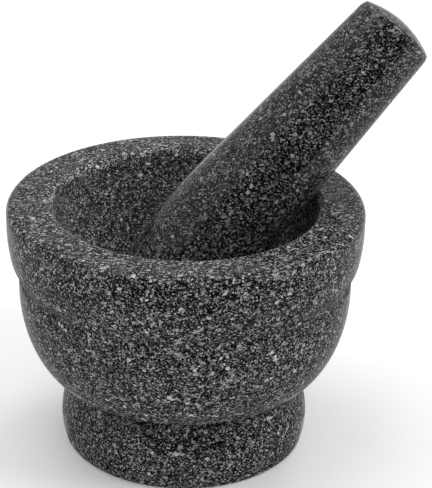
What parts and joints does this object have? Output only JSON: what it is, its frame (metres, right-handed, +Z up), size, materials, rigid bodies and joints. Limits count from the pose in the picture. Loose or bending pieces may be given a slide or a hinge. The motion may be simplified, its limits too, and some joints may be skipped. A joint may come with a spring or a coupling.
{
  "type": "mortar and pestle",
  "caption": "Footed stone mortar with a broad flat rim, collar band and round bowl, and a tapered stone pestle leaning in it.",
  "frame": {"origin": "centre of the flat underside of the foot", "axes": "+Z up along the mortar's axis; the pestle leans towards +X in the XZ plane"},
  "size_m": [0.1666, 0.14, 0.1755],
  "materials": {
    "mortar_stone": "dark speckled granite, polished outside and honed in the bowl",
    "pestle_stone": "dark speckled granite, satin polish"
  },
  "bodies": {
    "mortar": {"mortar": "mortar_stone"},
    "pestle": {"pestle": "pestle_stone"}
  },
  "joints": [
    {"name": "pestle_lift", "type": "slide", "parent": "mortar", "child": "pestle", "axis": [0, 0, 1], "range_m": [0, 0.09]}
  ]
}
